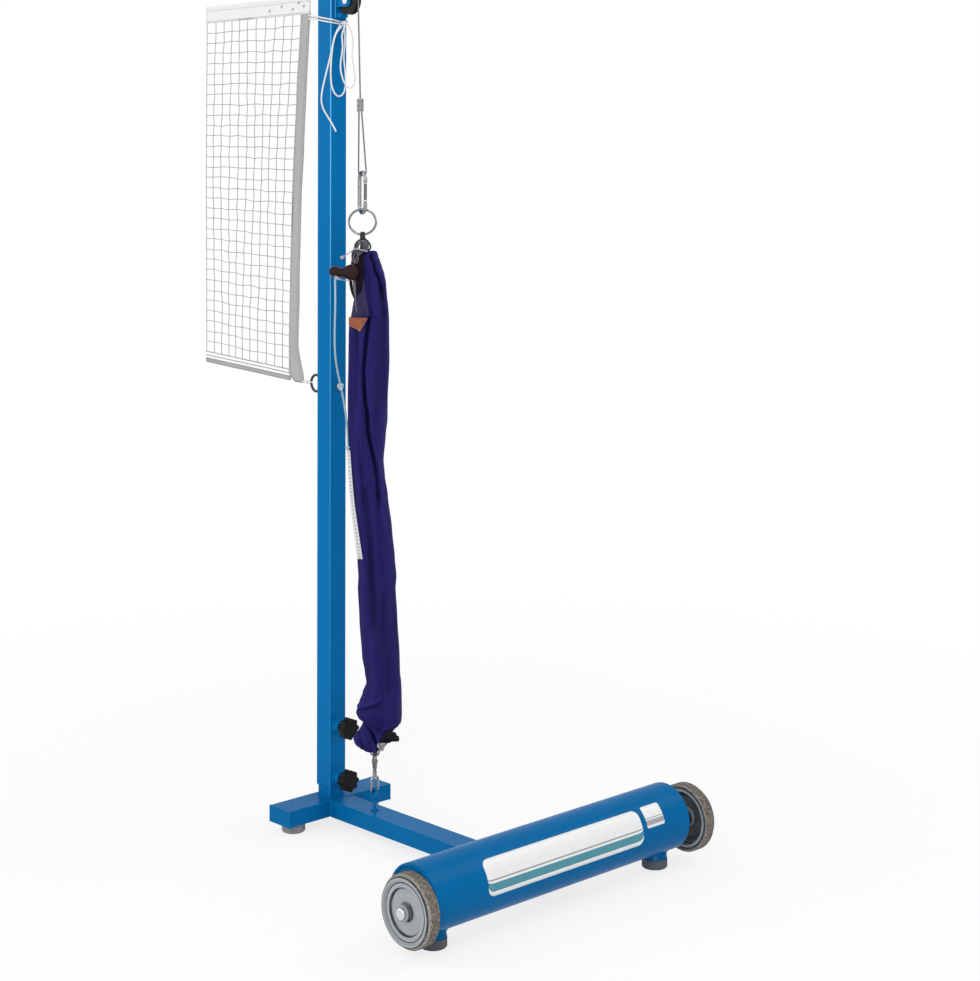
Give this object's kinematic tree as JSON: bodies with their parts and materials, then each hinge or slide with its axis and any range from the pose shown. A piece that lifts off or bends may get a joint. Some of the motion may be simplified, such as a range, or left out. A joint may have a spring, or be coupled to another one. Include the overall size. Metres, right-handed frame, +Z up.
{
  "type": "net post with counterweight base",
  "caption": "Square net post plugged into a wheeled counterweight base, with a pulley line in a cloth sleeve and the tied end of its net.",
  "frame": {"origin": "on the floor under the middle of the post", "axes": "+X along the base arm to the counterweight, +Y along the wheel axle, +Z up; the net runs away to -X in the plane y = 0"},
  "size_m": [1.0465, 0.7021, 1.5611],
  "materials": {
    "blue_paint": "satin powder coat",
    "zinc_steel": "zinc plated",
    "chrome": "polished",
    "dark_steel": "dull",
    "black_plastic": "matt",
    "grey_plastic": "satin",
    "grey_rubber": "matt",
    "tyre_rubber": "matt",
    "bush_plastic": "satin",
    "core_fill": "rough",
    "white_label": "satin",
    "white_cord": "matt",
    "grey_tape": "matt",
    "white_tape": "matt",
    "net_cord": "matt",
    "blue_cloth": "matt",
    "dark_cord": "matt",
    "maroon_leather": "satin"
  },
  "bodies": {
    "base": {"cross_foot": "blue_paint", "foot_end_plates": "blue_paint", "cross_foot_pad_near": "grey_rubber", "cross_foot_pad_far": "grey_rubber", "base_arm": "blue_paint", "post_stub": "blue_paint", "counterweight_tube": "blue_paint", "counterweight_end_plates": "blue_paint", "concrete_core": "core_fill", "pad_boss_near": "blue_paint", "pad_boss_far": "blue_paint", "floor_pad_near": "grey_rubber", "floor_pad_far": "grey_rubber", "label_plate": "white_label", "badge_plate": "white_label", "wheel_axle": "zinc_steel", "axle_spacers": "zinc_steel", "axle_cap_near": "chrome", "axle_cap_far": "chrome", "base_eye_bolt": "blue_paint", "lower_snap_body": "chrome"},
    "wheel_near": {"wheel_disc_near": "grey_plastic", "tyre_near": "tyre_rubber", "wheel_bush_near": "bush_plastic"},
    "wheel_far": {"wheel_disc_far": "grey_plastic", "tyre_far": "tyre_rubber", "wheel_bush_far": "bush_plastic"},
    "post": {"post_tube": "blue_paint", "post_stop_plate": "zinc_steel", "post_cap": "black_plastic", "knob_bosses": "blue_paint", "net_eye_bolt": "dark_steel", "net_eye_nut": "zinc_steel", "pulley_bracket": "blue_paint", "pulley_bolt": "zinc_steel", "wire_rope": "zinc_steel", "ferrule": "zinc_steel", "rope_loop": "zinc_steel", "upper_hook": "chrome", "steel_ring": "chrome", "sleeve_tie_block": "black_plastic", "sleeve": "blue_cloth", "elastic_cord": "dark_cord", "net_mesh": "net_cord", "net_head_band": "white_tape", "net_foot_tape": "grey_tape", "net_side_tape": "grey_tape", "net_corner_tie": "white_cord", "tie_cord": "white_cord", "tie_bow": "white_cord", "tie_tail": "white_cord", "pull_cord": "white_cord", "webbing_strip": "white_cord", "leather_toggle": "maroon_leather"},
    "pulley_wheel": {"pulley": "black_plastic"},
    "upper_knob": {"knob_upper": "black_plastic"},
    "lower_knob": {"knob_lower": "black_plastic"},
    "hook_gate": {"upper_hook_gate": "chrome"},
    "snap_gate": {"lower_snap_gate": "chrome"},
    "snap_swivel": {"lower_snap_swivel": "chrome"}
  },
  "joints": [
    {"name": "post_height", "type": "slide", "parent": "base", "child": "post", "axis": [0, 0, 1], "range_m": [0, 0.1], "deforming": ["sleeve", "elastic_cord"]},
    {"name": "near_wheel_spin", "type": "hinge", "parent": "base", "child": "wheel_near", "pos_m": [0.5915, -0.325, 0.0725], "axis": [0, 1, 0], "continuous": true},
    {"name": "far_wheel_spin", "type": "hinge", "parent": "base", "child": "wheel_far", "pos_m": [0.5915, 0.3325, 0.0725], "axis": [0, 1, 0], "continuous": true},
    {"name": "pulley_spin", "type": "hinge", "parent": "post", "child": "pulley_wheel", "pos_m": [0.051, 0, 1.535], "axis": [0, 1, 0], "continuous": true},
    {"name": "upper_knob_turn", "type": "hinge", "parent": "post", "child": "upper_knob", "pos_m": [0.045, 0, 0.1814], "axis": [1, 0, 0], "range_deg": [0, 720]},
    {"name": "lower_knob_turn", "type": "hinge", "parent": "post", "child": "lower_knob", "pos_m": [0.045, 0, 0.0846], "axis": [1, 0, 0], "range_deg": [0, 720]},
    {"name": "hook_gate_swing", "type": "hinge", "parent": "post", "child": "hook_gate", "pos_m": [0.09476, 0.00035, 1.16105], "axis": [-0.3123, -0.95, 0], "range_deg": [0, 24], "stiffness_Nm_per_rad": 0.05, "springref_deg": -11.46},
    {"name": "snap_gate_swing", "type": "hinge", "parent": "base", "child": "snap_gate", "pos_m": [0.126, 0.0061, 0.1007], "axis": [-1, 0, 0], "range_deg": [0, 20], "stiffness_Nm_per_rad": 0.02, "springref_deg": -11.46},
    {"name": "snap_swivel_turn", "type": "hinge", "parent": "base", "child": "snap_swivel", "pos_m": [0.126, 0, 0.12], "axis": [0, 0, 1], "continuous": true}
  ]
}
